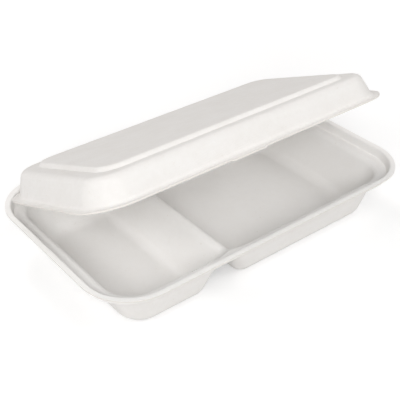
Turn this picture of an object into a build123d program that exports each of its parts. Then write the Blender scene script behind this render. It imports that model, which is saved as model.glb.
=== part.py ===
"""Two-compartment meal box of moulded sugarcane pulp: a tray and the lid hinged to its back."""
import os
from math import cos, radians, tan

from build123d import *

# Overall sizes of the tray, over its outer lip
tray_length = 240.0
tray_width = 144.7
tray_height = 36.0
corner_radius = 32.0
wall = 0.9

# Raised lip round the tray and the sunken seat inside it
lip_width = 3.6
seat_depth = 6.0
seat_draft = 13.0
lip_round = 1.2
seat_round = 1.0

# Basin below the seat, measured from the tray's outer edge
basin_inset = 12.8
basin_corner = 19.0
floor_corner = 15.0
end_draft = 22.0
side_draft = 11.0
basin_brow = 4.0
floor_cove = 8.0

# Dividing ridge: the crest stands lower than the seat, the left slope is the broader one
ridge_place = -30.0
crest_depth = 10.0
crest_width = 5.4
crest_round = 3.8
left_slope = 28.0
right_slope = 23.0

# Opening in the back lip for the hinge
hinge_length = 159.0
hinge_clear = 1.0
hinge_gap = 0.25

# Lid, measured from its own flange
lid_angle = 23.8
lid_fit = 5.7
lid_front_room = 8.35
lid_back_room = 6.45
lid_rise = 0.3
flange_width = 4.6
shoulder_height = 15.9
lid_draft = 15.0
lid_end_draft = 20.0
shoulder_round = 5.0
panel_inset = 18.0
panel_end_inset = 20.5
panel_height = 18.3
panel_draft = 34.0
panel_round = 1.5
panel_corner = 12.0
flange_cove = 2.0

# Opening tab on the lid's front edge
tab_place = -12.0
tab_width = 26.0
tab_reach = 2.5
tab_round = 2.0

# Levels
lip_level = tray_height
seat_level = lip_level - seat_depth
crest_level = lip_level - crest_depth
floor_level = wall
lid_level = seat_level + lid_rise + wall / 2
hinge_line = tray_width / 2 + hinge_gap
lid_near = hinge_gap + lid_back_room
lid_far = hinge_line + tray_width / 2 - lid_front_room
lid_length = tray_length - 2 * lid_fit
lid_width = lid_far - lid_near
lid_corner = corner_radius - lid_fit


def seat_form(skin):
    """Builds the space of the seat, grown outwards by a skin.

    Args:
        skin: Thickness added on the outside; nothing for the food side.
    """
    grow = 2 * skin / cos(radians(seat_draft))
    low = seat_level - skin
    high = lip_level + (wall - skin)
    with BuildPart() as seat:
        for level in (low, high):
            inset = 2 * (lip_width + (lip_level - level) * tan(radians(seat_draft))) - grow
            with BuildSketch(Plane.XY.offset(level)):
                RectangleRounded(tray_length - inset, tray_width - inset, corner_radius - inset / 2)
        loft(ruled=True)
        fillet(seat.edges().group_by(Axis.Z)[0], seat_round + skin)
    return seat.part


def basin_form(skin):
    """Builds the space of both compartments with the ridge between them, grown outwards by a skin.

    Args:
        skin: Thickness added on the outside; nothing for the food side.
    """
    end_grow = skin / cos(radians(end_draft))
    side_grow = skin / cos(radians(side_draft))
    low = floor_level - skin
    high = seat_level + seat_depth / 2
    with BuildPart() as basin:
        for level, radius in ((low, floor_corner), (high, basin_corner)):
            down = seat_level - level
            along = tray_length / 2 - basin_inset - down * tan(radians(end_draft)) + end_grow
            across = tray_width / 2 - basin_inset - down * tan(radians(side_draft)) + side_grow
            with BuildSketch(Plane.XY.offset(level)):
                RectangleRounded(2 * along, 2 * across, radius + skin)
        loft(ruled=True)
        top = crest_level - skin
        foot = low - floor_cove
        left_top = crest_width / 2 - skin * (1 / cos(radians(left_slope)) - tan(radians(left_slope)))
        right_top = crest_width / 2 - skin * (1 / cos(radians(right_slope)) - tan(radians(right_slope)))
        left_foot = left_top + (top - foot) * tan(radians(left_slope))
        right_foot = right_top + (top - foot) * tan(radians(right_slope))
        with BuildSketch(Plane.XZ) as section:
            with BuildLine():
                Polyline(
                    (ridge_place - left_foot, foot),
                    (ridge_place - left_top, top),
                    (ridge_place + right_top, top),
                    (ridge_place + right_foot, foot),
                    close=True,
                )
            make_face()
            fillet(section.vertices().group_by(Axis.Y)[-1], crest_round - skin)
        extrude(amount=tray_width, both=True, mode=Mode.SUBTRACT)
        near = basin.edges().filter_by_position(Axis.Z, low, crest_level)
        near = near.filter_by_position(Axis.X, ridge_place - left_foot, ridge_place + right_foot)
        front_edges = near.filter_by_position(Axis.Y, -tray_width, -tray_width / 4)
        back_edges = near.filter_by_position(Axis.Y, tray_width / 4, tray_width)
        floor_edges = basin.edges().group_by(Axis.Z)[0]
        fillet(floor_edges + front_edges + back_edges, floor_cove + skin)
    return basin.part


def tray_form(skin):
    """Joins the seat and the basin and rounds the brow between them.

    Args:
        skin: Thickness added on the outside; nothing for the food side.
    """
    with BuildPart() as form:
        add(seat_form(skin))
        add(basin_form(skin))
        brow = form.edges().filter_by_position(Axis.Z, seat_level - skin, seat_level - skin)
        reach = tray_width / 2 - basin_inset / 2
        brow = brow.filter_by_position(Axis.Y, -reach, reach)
        side = tray_length / 2 - basin_inset / 2
        brow = brow.filter_by_position(Axis.X, -side, side)
        fillet(brow, basin_brow - skin)
    return form.part


def lid_form(skin):
    """Builds the space inside the lid, grown outwards by a skin; the hinge line runs through the origin.

    Args:
        skin: Thickness added on the outside; nothing for the inside.
    """
    thin = wall - skin
    shift = -(lid_near + lid_far) / 2
    top = shoulder_height - thin
    crown = panel_height - thin
    with BuildPart() as form:
        for level in (-wall / 2, top):
            end = flange_width + level * tan(radians(lid_end_draft)) + thin / cos(radians(lid_end_draft))
            side = flange_width + level * tan(radians(lid_draft)) + thin / cos(radians(lid_draft))
            with BuildSketch(Plane.XY.offset(level)):
                with Locations((0, shift)):
                    RectangleRounded(lid_length - 2 * end, lid_width - 2 * side, lid_corner - side)
        loft(ruled=True)
        fillet(form.edges().group_by(Axis.Z)[-1], shoulder_round - thin)
        for level in (top - wall, crown):
            slant = (level - shoulder_height) * tan(radians(panel_draft)) + thin / cos(radians(panel_draft))
            end = panel_end_inset + slant
            side = panel_inset + slant
            with BuildSketch(Plane.XY.offset(level)):
                with Locations((0, shift)):
                    RectangleRounded(lid_length - 2 * end, lid_width - 2 * side, panel_corner)
        loft(ruled=True)
        fillet(form.edges().group_by(Axis.Z)[-1], panel_round - thin)
    return form.part


with BuildPart() as base_tray:
    add(tray_form(wall))
    with BuildSketch(Plane.XY.offset(lip_level)):
        RectangleRounded(tray_length, tray_width, corner_radius)
    extrude(amount=-wall)
    with BuildSketch(Plane.XY.offset(lip_level)):
        with Locations((0, tray_width / 4)):
            Rectangle(hinge_length + 2 * (hinge_clear + wall), tray_width / 2)
    extrude(amount=-(seat_depth + wall))
    add(tray_form(0), mode=Mode.SUBTRACT)
    lip_face = base_tray.faces().sort_by(Axis.Z)[-1]
    fillet(lip_face.inner_wires()[0].edges(), lip_round)
    with BuildSketch(Plane.XY.offset(seat_level)):
        with Locations((0, tray_width / 2)):
            Rectangle(hinge_length + 2 * hinge_clear, tray_width)
    extrude(amount=2 * seat_depth, mode=Mode.SUBTRACT)

with BuildPart() as closed_lid:
    with BuildSketch(Plane.XY.offset(-wall / 2)) as flange:
        with Locations((0, -(lid_near + lid_far) / 2)):
            RectangleRounded(lid_length, lid_width, lid_corner)
        with Locations((0, -lid_near)):
            Rectangle(hinge_length, 2 * lid_near)
        with Locations((tab_place, -lid_far)):
            Rectangle(tab_width, 2 * tab_reach)
        fillet(flange.vertices().group_by(Axis.Y)[0], tab_round)
    extrude(amount=wall)
    add(lid_form(wall))
    add(lid_form(0), mode=Mode.SUBTRACT)
    upper = closed_lid.faces().filter_by(Axis.Z).filter_by_position(Axis.Z, 0, wall)[0]
    fillet(upper.inner_wires()[0].edges(), flange_cove)
    lower = closed_lid.faces().sort_by(Axis.Z)[0]
    fillet(lower.inner_wires()[0].edges(), flange_cove + wall)

with BuildPart() as lid:
    with Locations(Location((0, hinge_line, lid_level), (-lid_angle, 0, 0))):
        add(closed_lid.part)

base_tray.part.label = "base_tray"
lid.part.label = "lid"
os.makedirs("parts", exist_ok=True)
export_step(base_tray.part, "parts/base_tray.step")
export_step(lid.part, "parts/lid.step")
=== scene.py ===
"""Looks of a two-compartment meal box of moulded sugarcane pulp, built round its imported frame."""
import logging
from dataclasses import dataclass
from enum import Enum

import bpy
import numpy as np
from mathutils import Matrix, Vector


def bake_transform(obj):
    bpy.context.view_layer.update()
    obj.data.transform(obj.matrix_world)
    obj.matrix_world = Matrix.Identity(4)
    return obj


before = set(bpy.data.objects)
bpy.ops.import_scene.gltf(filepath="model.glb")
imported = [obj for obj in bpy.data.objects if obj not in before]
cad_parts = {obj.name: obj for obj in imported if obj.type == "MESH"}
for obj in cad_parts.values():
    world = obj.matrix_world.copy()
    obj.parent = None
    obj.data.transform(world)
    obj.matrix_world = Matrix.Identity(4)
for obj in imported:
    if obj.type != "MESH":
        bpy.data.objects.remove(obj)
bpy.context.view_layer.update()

logging.basicConfig(level=logging.INFO, format="%(name)s: %(message)s")
log = logging.getLogger("meal_box")

Colour = tuple[float, float, float]
Point = tuple[float, float, float]
Given = float | bpy.types.NodeSocket

# The lid's opening at rest, in radians, and the hinge line, in metres, as packed
LID_ANGLE = np.radians(23.8)
HINGE_Y = 0.0726
HINGE_Z = 0.03075


class Face(Enum):
    """The direction that the pressed side of a moulding faces, in the rest pose."""

    TRAY_FOOD_SIDE = (0.0, 0.0, 1.0)
    LID_FOOD_SIDE = (0.0, -float(np.sin(LID_ANGLE)), -float(np.cos(LID_ANGLE)))


class NodeBoard:
    """A node tree with short calls for adding and joining nodes."""

    def __init__(self, tree: bpy.types.NodeTree) -> None:
        """Keeps the tree that the nodes go into.

        Args:
            tree: The material's or group's node tree.
        """
        self.tree = tree

    def add(self, kind: str, label: str, values: dict | None = None, **settings: object) -> bpy.types.Node:
        """Adds a node, sets its properties and fills or joins its inputs.

        Args:
            kind: Blender's type name of the node.
            label: The name shown on the node.
            values: Input name or number to a constant or to an output socket.
            **settings: Properties of the node, such as its operation.

        Returns:
            The new node.
        """
        node = self.tree.nodes.new(kind)
        node.name = node.label = label
        for name, setting in settings.items():
            setattr(node, name, setting)
        for key, value in (values or {}).items():
            if isinstance(value, bpy.types.NodeSocket):
                self.tree.links.new(value, node.inputs[key])
            else:
                node.inputs[key].default_value = value
        return node

    def math(self, operation: str, label: str, *values: Given) -> bpy.types.NodeSocket:
        """Adds a Math node.

        Args:
            operation: Blender's name of the sum.
            label: The name shown on the node.
            *values: Constants or sockets, in the order of the inputs.

        Returns:
            The node's output socket.
        """
        node = self.add("ShaderNodeMath", label, dict(enumerate(values)), operation=operation)
        return node.outputs[0]

    def mix(self, label: str, factor: bpy.types.NodeSocket, first: Colour | bpy.types.NodeSocket,
            second: Colour | bpy.types.NodeSocket) -> bpy.types.NodeSocket:
        """Adds a colour mix.

        Args:
            label: The name shown on the node.
            factor: The share of the second colour.
            first: A colour or a socket.
            second: A colour or a socket.

        Returns:
            The socket of the mixed colour.
        """
        ends = [
            end if isinstance(end, bpy.types.NodeSocket) else (*end, 1.0)
            for end in (first, second)]
        node = self.add("ShaderNodeMix", label, {0: factor, 6: ends[0], 7: ends[1]}, data_type="RGBA")
        return node.outputs[2]

    def span(self, label: str, value: bpy.types.NodeSocket, low: float,
             high: float) -> bpy.types.NodeSocket:
        """Adds a clamped ramp from 0 to 1.

        Args:
            label: The name shown on the node.
            value: The socket of the value.
            low: The value that gives 0.
            high: The value that gives 1, above or below the other.

        Returns:
            The socket of the ramp.
        """
        limits = {"Value": value, "From Min": low, "From Max": high}
        node = self.add("ShaderNodeMapRange", label, limits)
        return node.outputs[0]


class EffectGroup:
    """A shader node group with named inputs and outputs, built once and used by several finishes."""

    name = "Effect"
    inputs: tuple[tuple[str, str, float], ...] = ()
    outputs: tuple[str, ...] = ()

    def tree(self) -> bpy.types.NodeTree:
        """Gives the group's tree, made on the first call.

        Returns:
            The tree.
        """
        made = bpy.data.node_groups.get(self.name)
        if made is not None:
            return made
        made = bpy.data.node_groups.new(self.name, "ShaderNodeTree")
        made.interface.new_socket("Coordinates", in_out="INPUT", socket_type="NodeSocketVector")
        for name, kind, value in self.inputs:
            socket = made.interface.new_socket(name, in_out="INPUT", socket_type=kind)
            socket.default_value = value
        for name in self.outputs:
            made.interface.new_socket(name, in_out="OUTPUT", socket_type="NodeSocketFloat")
        board = NodeBoard(made)
        source = board.add("NodeGroupInput", "Given")
        sink = board.add("NodeGroupOutput", "Result")
        for name, socket in self.wire(board, source).items():
            made.links.new(socket, sink.inputs[name])
        return made

    def wire(self, board: NodeBoard, source: bpy.types.Node) -> dict[str, bpy.types.NodeSocket]:
        """Lays the group's nodes.

        Args:
            board: The group's own tree.
            source: The node that gives the group's inputs.

        Returns:
            Output name to the socket that feeds it.
        """
        raise NotImplementedError

    def place(self, board: NodeBoard, coordinates: bpy.types.NodeSocket,
              **values: float) -> bpy.types.Node:
        """Puts the group into a material.

        Args:
            board: The material's tree.
            coordinates: The socket of the point's place on the piece.
            **values: Input name, with underscores for spaces, to its number.

        Returns:
            The group node.
        """
        node = board.add("ShaderNodeGroup", self.name, node_tree=self.tree())
        board.tree.links.new(coordinates, node.inputs["Coordinates"])
        for name, value in values.items():
            node.inputs[name.replace("_", " ")].default_value = value
        return node


class FibreMat(EffectGroup):
    """Short fibres felted at all angles.

    Three noises are stretched along turned axes, and the highest of them wins at each point.
    """

    name = "Pulp fibre mat"
    inputs = (("Fineness", "NodeSocketFloat", 1500.0),)
    outputs = ("Height", "Flecks")
    turns = ((0.0, 0.4, 0.3), (0.5, 0.0, 1.35), (0.2, 0.9, 2.4))
    stretch = (1.0, 0.16, 1.0)
    fleck_fineness = 0.55
    fleck_levels = (0.70, 0.80)

    def wire(self, board: NodeBoard, source: bpy.types.Node) -> dict[str, bpy.types.NodeSocket]:
        """Lays three noises stretched along turned axes, and thins a fourth to sparse flecks.

        Args:
            board: The group's own tree.
            source: The node that gives the group's inputs.

        Returns:
            Output name to the socket that feeds it.
        """
        layers = []
        for number, turn in enumerate(self.turns):
            turned = board.add(
                "ShaderNodeMapping", f"Turn {number}",
                {"Vector": source.outputs["Coordinates"], "Rotation": turn, "Scale": self.stretch})
            strand = board.add(
                "ShaderNodeTexNoise", f"Strands {number}",
                {"Vector": turned.outputs[0], "Scale": source.outputs["Fineness"], "Detail": 2.0,
                 "Roughness": 0.55, "Distortion": 0.6})
            layers.append(strand.outputs[0])
        pair = board.math("MAXIMUM", "Upper strand", layers[0], layers[1])
        height = board.math("MAXIMUM", "Top strand", pair, layers[2])
        size = board.math("MULTIPLY", "Fleck size", source.outputs["Fineness"], self.fleck_fineness)
        fleck = board.add(
            "ShaderNodeTexNoise", "Fleck noise",
            {"Vector": source.outputs["Coordinates"], "Scale": size, "Detail": 1.0, "Distortion": 1.2})
        flecks = board.span("Sparse flecks", fleck.outputs[0], *self.fleck_levels)
        return {"Height": height, "Flecks": flecks}


class PulpClouds(EffectGroup):
    """The uneven lay of the pulp: broad and fine clouds of tone, and a swell of the sheet."""

    name = "Pulp clouds"
    inputs = (("Cloud density", "NodeSocketFloat", 55.0),)
    outputs = ("Tone", "Swell")
    fine_density = 5.5
    fine_share = 0.45
    swell_density = 1.6

    def wire(self, board: NodeBoard, source: bpy.types.Node) -> dict[str, bpy.types.NodeSocket]:
        """Mixes a broad and a fine noise into a tone, and gives a slow swell of the surface.

        Args:
            board: The group's own tree.
            source: The node that gives the group's inputs.

        Returns:
            Output name to the socket that feeds it.
        """
        broad = board.add(
            "ShaderNodeTexNoise", "Broad clouds",
            {"Vector": source.outputs["Coordinates"], "Scale": source.outputs["Cloud density"],
             "Detail": 3.0, "Roughness": 0.6})
        finer = board.math("MULTIPLY", "Finer", source.outputs["Cloud density"], self.fine_density)
        fine = board.add(
            "ShaderNodeTexNoise", "Fine clouds",
            {"Vector": source.outputs["Coordinates"], "Scale": finer, "Detail": 3.0, "Roughness": 0.6})
        part = board.math("MULTIPLY", "Fine share", fine.outputs[0], self.fine_share)
        tone = board.math("MULTIPLY_ADD", "Cloud tone", broad.outputs[0], 1.0 - self.fine_share, part)
        between = board.math(
            "MULTIPLY", "Swell size", source.outputs["Cloud density"], self.swell_density)
        swell = board.add(
            "ShaderNodeTexNoise", "Swell",
            {"Vector": source.outputs["Coordinates"], "Scale": between, "Detail": 1.0})
        return {"Tone": tone, "Swell": swell.outputs[0]}


class ScreenImprint(EffectGroup):
    """The print of the forming screen: two crossed sine bands over the plan of the moulding."""

    name = "Forming screen imprint"
    inputs = (("Threads", "NodeSocketFloat", 390.0),)
    outputs = ("Height",)

    def wire(self, board: NodeBoard, source: bpy.types.Node) -> dict[str, bpy.types.NodeSocket]:
        """Multiplies a wave across the length by a wave across the width.

        Args:
            board: The group's own tree.
            source: The node that gives the group's inputs.

        Returns:
            Output name to the socket that feeds it.
        """
        bands = []
        for axis in "XY":
            wave = board.add(
                "ShaderNodeTexWave", f"Threads {axis}",
                {"Vector": source.outputs["Coordinates"], "Scale": source.outputs["Threads"],
                 "Distortion": 1.2, "Detail": 1.0},
                wave_type="BANDS", bands_direction=axis, wave_profile="SIN")
            bands.append(wave.outputs["Fac"])
        return {"Height": board.math("MULTIPLY", "Crossed threads", *bands)}


@dataclass(frozen=True)
class PulpFinish:
    """Pressed, natural-white sugarcane pulp.

    The pale tone turns to the warm tone in soft clouds, and sparse flecks are a little browner. The side
    that the hot tool pressed, where the food lies, is paler than the side that lay on the screen. This is
    partly the smoother pressed face and partly painted light that lifts the inside of the box where the
    lid shades it.
    Cut edges show the darker inside of the sheet. Their tone goes on every face that looks sideways and
    also paints the shade lines along the tray's lip and under the lid's lower edge.
    Depths are in metres: the felted fibres, the slow swell of the sheet and the print of the screen.
    The cloud levels are the tones that are all warm and all pale. The edge and shade levels say how far a
    face may look from sideways: without the cut-edge tone and painted shade, and fully with them.
    """

    name: str
    food_side: Face
    pale: Colour = (0.828, 0.810, 0.790)
    warm: Colour = (0.796, 0.773, 0.747)
    # The pressed side's tones are paler partly as painted light, lifting the inside of the box that the
    # lid shades.
    pressed_pale_painted_lift: Colour = (0.912, 0.899, 0.883)
    pressed_warm_painted_lift: Colour = (0.894, 0.878, 0.858)
    # The cut-edge tone also paints shade lines along the lip and under the lid's lower edge.
    cut_edge_and_shade: Colour = (0.735, 0.705, 0.665)
    fleck: Colour = (0.600, 0.520, 0.420)
    fleck_share: float = 0.28
    roughness: float = 0.82
    fibre_depth: float = 0.00006
    swell_depth: float = 0.00018
    screen_depth: float = 0.00003
    fineness: float = 1500.0
    cloud_density: float = 55.0
    threads: float = 390.0
    cloud_levels: tuple[float, float] = (0.34, 0.66)
    edge_and_shade_levels: tuple[float, float] = (0.16, 0.06)
    side_blend: float = 0.05
    gloss_drift: float = 0.12

    def material(self) -> bpy.types.Material:
        """Builds the finish as a node material.

        Returns:
            The material, made on the first call.
        """
        made = bpy.data.materials.get(self.name)
        if made is not None:
            return made
        made = bpy.data.materials.new(self.name)
        made.use_nodes = True
        made.node_tree.nodes.clear()
        board = NodeBoard(made.node_tree)
        place = board.add("ShaderNodeTexCoord", "Place on the piece")
        fibres = FibreMat().place(board, place.outputs["Object"], Fineness=self.fineness)
        clouds = PulpClouds().place(board, place.outputs["Object"], Cloud_density=self.cloud_density)
        facing = self.facing(board, place)
        # The pressed side, away from the screen's side, takes the paler tones that paint light into the
        # shaded inside.
        outside = board.span("Screen's side", facing, self.side_blend, -self.side_blend)
        shader = board.add(
            "ShaderNodeBsdfPrincipled", "Pulp",
            {"Base Color": self.colour(board, fibres, clouds, facing, outside),
             "Roughness": self.gloss(board, clouds),
             "Normal": self.relief(board, place, fibres, clouds, outside),
             "Specular IOR Level": 0.3, "Sheen Weight": 0.06, "Sheen Roughness": 0.6})
        board.add("ShaderNodeOutputMaterial", "Surface", {"Surface": shader.outputs[0]})
        return made

    def facing(self, board: NodeBoard, place: bpy.types.Node) -> bpy.types.NodeSocket:
        """Measures how far a face looks towards the food, from 1 to -1 for straight away from it.

        Args:
            board: The material's tree.
            place: The node that gives places and normals on the piece.

        Returns:
            The socket of the measure.
        """
        node = board.add(
            "ShaderNodeVectorMath", "Facing the food",
            {0: place.outputs["Normal"], 1: self.food_side.value}, operation="DOT_PRODUCT")
        return node.outputs["Value"]

    def colour(self, board: NodeBoard, fibres: bpy.types.Node, clouds: bpy.types.Node,
               facing: bpy.types.NodeSocket, outside: bpy.types.NodeSocket) -> bpy.types.NodeSocket:
        """Mixes each side's pale and warm tones by the clouds, with the pressed side's painted paler as a
        lift, and adds the flecks and the cut-edge tone with its painted edge shade.

        Args:
            board: The material's tree.
            fibres: The fibre group in it.
            clouds: The cloud group in it.
            facing: The measure of looking towards the food, near 0 on a cut edge or a painted shade line.
            outside: The mask of the screen's side; the other side takes the paler tones of painted lift.

        Returns:
            The socket of the finished colour.
        """
        spread = board.span("Cloud contrast", clouds.outputs["Tone"], *self.cloud_levels)
        screened = board.mix("Warm to pale", spread, self.warm, self.pale)
        # The pressed side's tones are painted paler: light painted into the inside of the box where the
        # lid shades it.
        pressed = board.mix("Pressed warm to pale, painted lift", spread, self.pressed_warm_painted_lift, self.pressed_pale_painted_lift)
        body = board.mix("Lifted pressed or screened", outside, pressed, screened)
        share = board.math("MULTIPLY", "Fleck share", fibres.outputs["Flecks"], self.fleck_share)
        flecked = board.mix("Flecked", share, body, self.fleck)
        # Faces that look sideways take the cut-edge tone, which also paints shade lines along the lip and
        # under the lid's lower edge.
        off_edge = board.math("ABSOLUTE", "Off the edge", facing)
        edge = board.span("Cut edge and painted shade mask", off_edge, *self.edge_and_shade_levels)
        return board.mix("Cut edge and painted shade", edge, flecked, self.cut_edge_and_shade)

    def gloss(self, board: NodeBoard, clouds: bpy.types.Node) -> bpy.types.NodeSocket:
        """Lets the roughness drift a little with the clouds.

        Args:
            board: The material's tree.
            clouds: The cloud group in it.

        Returns:
            The socket of the roughness.
        """
        highest = self.roughness + self.gloss_drift / 2
        return board.math(
            "MULTIPLY_ADD", "Roughness drift", clouds.outputs["Tone"], -self.gloss_drift, highest)

    def relief(self, board: NodeBoard, place: bpy.types.Node, fibres: bpy.types.Node,
               clouds: bpy.types.Node, outside: bpy.types.NodeSocket) -> bpy.types.NodeSocket:
        """Adds the swell, the fibres and, on the side away from the food, the screen's print.

        Args:
            board: The material's tree.
            place: The node that gives places and normals on the piece.
            fibres: The fibre group in it.
            clouds: The cloud group in it.
            outside: The mask of the screen's side.

        Returns:
            The socket of the normal.
        """
        screen = ScreenImprint().place(board, place.outputs["Object"], Threads=self.threads)
        printed = board.math("MULTIPLY", "Print outside", screen.outputs["Height"], outside)
        swell = board.math("MULTIPLY", "Swell depth", clouds.outputs["Swell"], self.swell_depth)
        felt = board.math(
            "MULTIPLY_ADD", "Fibre depth", fibres.outputs["Height"], self.fibre_depth, swell)
        height = board.math("MULTIPLY_ADD", "Print depth", printed, self.screen_depth, felt)
        bump = board.add(
            "ShaderNodeBump", "Relief", {"Height": height, "Strength": 1.0, "Distance": 1.0})
        return bump.outputs[0]


def closed_strip(name: str, section: np.ndarray, stations: np.ndarray) -> bpy.types.Object:
    """Carries a closed section in the Y-Z plane along X and closes both ends with a face.

    Point (j, i) of the grid is section point i at station j: x = stations[j] and (y, z) = section[i].

    Args:
        name: The piece's name.
        section: Points (n, 2) of the closed outline, turning so that the faces point outwards.
        stations: The places (m) along X, rising.

    Returns:
        The new object, with its place in its mesh.
    """
    count, runs = len(section), len(stations)
    points = np.empty((runs, count, 3))
    points[..., 0] = stations[:, None]
    points[..., 1:] = section[None]
    run, turn = np.meshgrid(np.arange(runs - 1), np.arange(count), indexing="ij")
    onward = (turn + 1) % count
    here, there = run * count, (run + 1) * count
    quads = np.stack([here + turn, there + turn, there + onward, here + onward], axis=-1)
    ends = [list(range(count)), list(range(runs * count - 1, (runs - 1) * count - 1, -1))]
    mesh = bpy.data.meshes.new(name)
    mesh.from_pydata(points.reshape(-1, 3).tolist(), [], quads.reshape(-1, 4).tolist() + ends)
    mesh.polygons.foreach_set("use_smooth", np.ones(len(mesh.polygons), bool))
    mesh.update()
    piece = bpy.data.objects.new(name, mesh)
    bpy.context.scene.collection.objects.link(piece)
    return piece


@dataclass
class Tray:
    """The divided tray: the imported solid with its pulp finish."""

    node: str = "base_tray"
    finish: PulpFinish = PulpFinish("Pulp tray", Face.TRAY_FOOD_SIDE)

    def dress(self) -> None:
        """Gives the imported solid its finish."""
        dress_node(self.node, self.finish)


@dataclass
class Lid:
    """The lid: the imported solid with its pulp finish."""

    node: str = "lid"
    finish: PulpFinish = PulpFinish("Pulp lid", Face.LID_FOOD_SIDE)

    def dress(self) -> None:
        """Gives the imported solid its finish."""
        dress_node(self.node, self.finish)


@dataclass
class HingeCrease:
    """The strip of creased pulp that joins the tray to the lid, shaped for the lid's rest opening.

    Sizes are in metres. The strip starts on the tray's back edge, below the hinge line, and curls round
    it to the end of the lid's web, with an even thickness.
    """

    length: float = 0.159
    thickness: float = 0.00088
    start_radius: float = 0.0012
    overlap: float = 0.0003
    steps: int = 14
    runs: int = 54
    # The crease's lighter cut-edge tone also carries the painted edge shade.
    finish: PulpFinish = PulpFinish(
        "Pulp crease", Face.TRAY_FOOD_SIDE, cut_edge_and_shade=(0.810, 0.785, 0.752), roughness=0.74,
        fibre_depth=0.00009)

    def section(self) -> np.ndarray:
        """Works out the strip's outline across the hinge line.

        The middle line is a spiral: its angle about the hinge line runs evenly from straight down to the
        normal of the lid's web, while its radius falls evenly from the start radius to nothing. Half the
        thickness is added outside and taken off inside. The first point moves back onto the tray's edge.

        Returns:
            Points (n, 2) of the closed outline in Y and Z.
        """
        share = np.linspace(0.0, 1.0, self.steps)
        angle = -np.pi / 2 + share * (np.pi - LID_ANGLE)
        middle = self.start_radius * (1.0 - share)
        ray = np.stack([np.cos(angle), np.sin(angle)], axis=1)
        outer = ray * (middle + self.thickness / 2)[:, None]
        inner = ray * (middle - self.thickness / 2)[:, None]
        root = np.array([[-self.overlap, 0.0]])
        outline = np.concatenate([outer[:1] + root, outer, inner[::-1], inner[:1] + root])
        return outline + np.array([HINGE_Y, HINGE_Z])

    def build(self) -> bpy.types.Object:
        """Builds, dresses and hangs the strip between the two bodies.

        Returns:
            The finished piece.
        """
        stations = np.linspace(-self.length / 2, self.length / 2, self.runs)
        piece = closed_strip("hinge_crease", self.section(), stations)
        piece.data.materials.append(self.finish.material())
        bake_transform(piece)
        return piece


def outward(azimuth: float, elevation: float) -> Vector:
    """Turns a compass angle and a height angle into a direction from the box.

    Args:
        azimuth: Degrees from the front, positive to the right.
        elevation: Degrees above the table.

    Returns:
        The unit vector.
    """
    turn, rise = np.radians(azimuth), np.radians(elevation)
    return Vector((np.sin(turn) * np.cos(rise), -np.cos(turn) * np.cos(rise), np.sin(rise)))


def dress_node(node: str, finish: PulpFinish) -> None:
    """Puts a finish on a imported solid.

    Args:
        node: The solid's name.
        finish: The finish to put on it.
    """
    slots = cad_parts[node].data.materials
    slots.clear()
    slots.append(finish.material())
    log.info("dressed %s with %s", node, finish.name)


@dataclass(frozen=True)
class SoftBox:
    """A square lamp aimed at the box, set by its direction in degrees and its distance from it."""

    name: str
    azimuth: float
    elevation: float
    power: float
    distance: float = 1.4
    size: float = 0.5
    colour: Colour = (1.0, 1.0, 1.0)
    target: Point = (0.0, 0.0, 0.03)

    def build(self) -> None:
        """Makes the lamp and turns it to the middle of the box."""
        lamp = bpy.data.lights.new(self.name, "AREA")
        lamp.size = self.size
        lamp.energy = self.power
        lamp.color = self.colour
        back = outward(self.azimuth, self.elevation)
        holder = bpy.data.objects.new(self.name, lamp)
        holder.location = Vector(self.target) + back * self.distance
        holder.rotation_euler = back.to_track_quat("Z", "Y").to_euler()
        bpy.context.scene.collection.objects.link(holder)


@dataclass(frozen=True)
class Viewpoint:
    """The camera: a long lens above the front left corner. The frame is 400 by 400 pixels."""

    azimuth: float = -38.46
    elevation: float = 34.48
    distance: float = 0.52028
    target: Point = (-0.01772, -0.0151, 0.036)
    focal_pixels: float = 831.9
    frame_pixels: float = 400.0
    sensor_width: float = 36.0
    nearest: float = 0.01

    def build(self) -> None:
        """Makes the camera and hands it to the scene."""
        camera = bpy.data.cameras.new("Viewpoint")
        camera.sensor_width = self.sensor_width
        camera.lens = self.sensor_width * self.focal_pixels / self.frame_pixels
        camera.clip_start = self.nearest
        back = outward(self.azimuth, self.elevation)
        holder = bpy.data.objects.new("Viewpoint", camera)
        holder.location = Vector(self.target) + back * self.distance
        holder.rotation_euler = back.to_track_quat("Z", "Y").to_euler()
        bpy.context.scene.collection.objects.link(holder)
        bpy.context.scene.camera = holder


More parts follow.
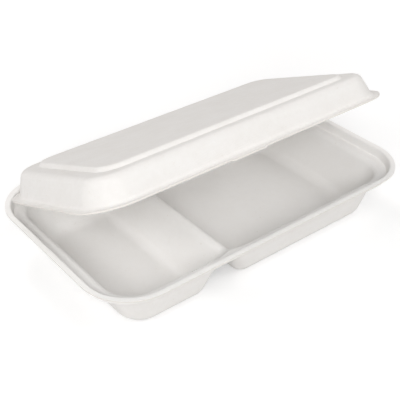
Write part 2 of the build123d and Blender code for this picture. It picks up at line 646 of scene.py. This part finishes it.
@dataclass
class Studio:
    """A plain white table, weak light from all round and soft lamps in front, above, left and behind.

    To the camera, the table's white is lifted by the near lift round the box and by the far lift away
    from it.
    """

    table_half: float = 2.5
    table_drop: float = 0.0002
    table_white: float = 0.82
    near_lift: float = 0.27
    far_lift: float = 1.0
    lift_reach: tuple[float, float] = (0.25, 1.0)
    room_light: float = 0.32
    lamps: tuple[SoftBox, ...] = (
        SoftBox("Front left lamp", -37.0, 32.0, 9.1),
        SoftBox("Top front lamp", -10.0, 63.0, 1.5),
        SoftBox("Front right lamp", 48.0, 30.0, 4.2),
        SoftBox("Back lamp", 170.0, 50.0, 4.2, colour=(1.0, 0.955, 0.93)),
        SoftBox("Left lamp", -98.0, 33.0, 3.9),
    )
    viewpoint: Viewpoint = Viewpoint()

    def build(self) -> None:
        """Builds the table, the room's light, the lamps and the camera."""
        self.table()
        self.room()
        for lamp in self.lamps:
            lamp.build()
        self.viewpoint.build()
        bpy.context.scene.view_settings.view_transform = "Standard"

    def table(self) -> None:
        """Makes the table top, lifted for the camera so that it runs into the room's white."""
        half = self.table_half
        corners = np.array([[-half, -half], [half, -half], [half, half], [-half, half]])
        points = np.column_stack([corners, np.full(4, -self.table_drop)])
        mesh = bpy.data.meshes.new("Table")
        mesh.from_pydata(points.tolist(), [], [[0, 1, 2, 3]])
        top = bpy.data.objects.new("Table", mesh)
        bpy.context.scene.collection.objects.link(top)
        white = bpy.data.materials.new("Table white")
        white.use_nodes = True
        white.node_tree.nodes.clear()
        board = NodeBoard(white.node_tree)
        ray = board.add("ShaderNodeLightPath", "Ray")
        place = board.add("ShaderNodeTexCoord", "Place on the table")
        away = board.add(
            "ShaderNodeVectorMath", "Way from the box", {0: place.outputs["Object"]}, operation="LENGTH")
        start, end = self.lift_reach
        ramp = board.add(
            "ShaderNodeMapRange", "Near to far",
            {"Value": away.outputs["Value"], "From Min": start, "From Max": end,
             "To Min": self.near_lift, "To Max": self.far_lift}, interpolation_type="SMOOTHSTEP")
        lift = board.math(
            "MULTIPLY", "Lift for the camera", ray.outputs["Is Camera Ray"], ramp.outputs[0])
        matt = board.add("ShaderNodeBsdfDiffuse", "Matt", {"Color": (*[self.table_white] * 3, 1.0)})
        glow = board.add("ShaderNodeEmission", "Lift", {"Strength": lift})
        both = board.add("ShaderNodeAddShader", "Lifted white", {0: matt.outputs[0], 1: glow.outputs[0]})
        board.add("ShaderNodeOutputMaterial", "Surface", {"Surface": both.outputs[0]})
        mesh.materials.append(white)

    def room(self) -> None:
        """Lights the room evenly and shows it white to the camera."""
        world = bpy.data.worlds.new("Room")
        world.use_nodes = True
        world.node_tree.nodes.clear()
        board = NodeBoard(world.node_tree)
        ray = board.add("ShaderNodeLightPath", "Ray")
        seen = board.math(
            "MAXIMUM", "Seen", ray.outputs["Is Camera Ray"], ray.outputs["Is Glossy Ray"])
        strength = board.math(
            "MULTIPLY_ADD", "White when seen", seen, 1.0 - self.room_light, self.room_light)
        light = board.add(
            "ShaderNodeBackground", "Light", {"Color": (1.0, 1.0, 1.0, 1.0), "Strength": strength})
        board.add("ShaderNodeOutputWorld", "World", {"Surface": light.outputs[0]})
        bpy.context.scene.world = world


def main() -> None:
    """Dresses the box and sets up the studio."""
    Tray().dress()
    Lid().dress()
    log.info("built %s", HingeCrease().build().name)
    Studio().build()


if __name__ == "__main__":
    main()
